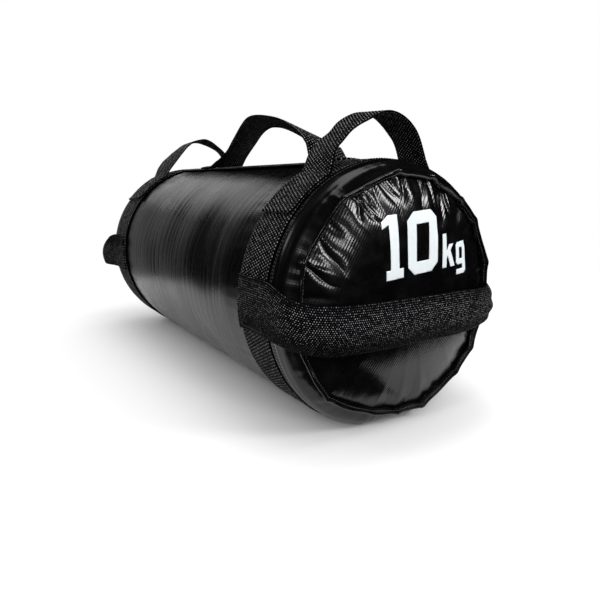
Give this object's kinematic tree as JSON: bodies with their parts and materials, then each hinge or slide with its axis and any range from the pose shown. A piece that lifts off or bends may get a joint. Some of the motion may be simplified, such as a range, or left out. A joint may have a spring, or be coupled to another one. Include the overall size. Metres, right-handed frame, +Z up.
{
  "type": "weighted training bag",
  "caption": "Filled coated-fabric tube with sewn end panels, webbing bands, grab handles over its top and a strap loop across each end, for weight training.",
  "frame": {"origin": "centre of the underside of the whole bag's box, on the floor", "axes": "+X along the bag towards its marked end, +Z up through the handles over its top, +Y across it"},
  "size_m": [0.55, 0.2308, 0.268],
  "materials": {
    "coated_fabric": "PVC-coated polyester cloth, semi-gloss",
    "webbing": "woven polypropylene webbing, matt with bright ribs",
    "thread": "bonded polyester thread",
    "foam": "closed-cell foam, matt",
    "liner": "plain woven cloth",
    "hook_and_loop": "hook and loop tape",
    "textile_fill": "shredded cloth",
    "sand_pouch": "cotton duck filled with sand"
  },
  "bodies": {
    "bag": {"shell_tube": "coated_fabric", "tube_seam_strip": "coated_fabric", "collar_front": "coated_fabric", "collar_rear": "coated_fabric", "rim_binding_front": "coated_fabric", "rim_binding_rear": "coated_fabric", "end_panel_front": "coated_fabric", "end_panel_rear": "coated_fabric", "band_front": "webbing", "band_rear": "webbing", "spine_strap": "webbing", "front_handle_foot_left": "webbing", "front_handle_foot_right": "webbing", "front_handle_foot_left_stitches": "thread", "front_handle_foot_right_stitches": "thread", "rear_handle_foot_left": "webbing", "rear_handle_foot_right": "webbing", "rear_handle_foot_left_stitches": "thread", "rear_handle_foot_right_stitches": "thread", "centre_handle_foot_front": "webbing", "centre_handle_foot_rear": "webbing", "centre_handle_foot_front_stitches": "thread", "centre_handle_foot_rear_stitches": "thread", "front_strap_foot_left": "webbing", "front_strap_foot_right": "webbing", "front_strap_foot_left_stitches": "thread", "front_strap_foot_right_stitches": "thread", "rear_strap_foot_left": "webbing", "rear_strap_foot_right": "webbing", "rear_strap_foot_left_stitches": "thread", "rear_strap_foot_right_stitches": "thread", "foam_sleeve": "foam", "foam_disc_front": "foam", "foam_disc_rear": "foam", "liner_sack": "liner", "liner_closure": "hook_and_loop", "textile_fill": "textile_fill", "sand_pouch_front": "sand_pouch", "sand_pouch_rear": "sand_pouch"},
    "front_handle": {"front_handle_loop": "webbing"},
    "rear_handle": {"rear_handle_loop": "webbing"},
    "centre_handle": {"centre_handle_loop": "webbing"},
    "front_strap": {"front_strap_loop": "webbing"},
    "rear_strap": {"rear_strap_loop": "webbing"}
  },
  "joints": [
    {"name": "front_handle_swing", "type": "hinge", "parent": "bag", "child": "front_handle", "pos_m": [0.196, 0, 0.23727], "axis": [0, 1, 0], "range_deg": [-65, 65]},
    {"name": "rear_handle_swing", "type": "hinge", "parent": "bag", "child": "rear_handle", "pos_m": [-0.196, 0, 0.23727], "axis": [0, 1, 0], "range_deg": [-65, 65]},
    {"name": "centre_handle_swing", "type": "hinge", "parent": "bag", "child": "centre_handle", "pos_m": [0.0255, 0, 0.24992], "axis": [1, 0, 0], "range_deg": [-85, 85]},
    {"name": "front_strap_swing", "type": "hinge", "parent": "bag", "child": "front_strap", "pos_m": [0.2185, 0, 0.10822], "axis": [0, 1, 0], "range_deg": [-40, 26]},
    {"name": "rear_strap_swing", "type": "hinge", "parent": "bag", "child": "rear_strap", "pos_m": [-0.2185, 0, 0.10822], "axis": [0, 1, 0], "range_deg": [-26, 40]}
  ]
}
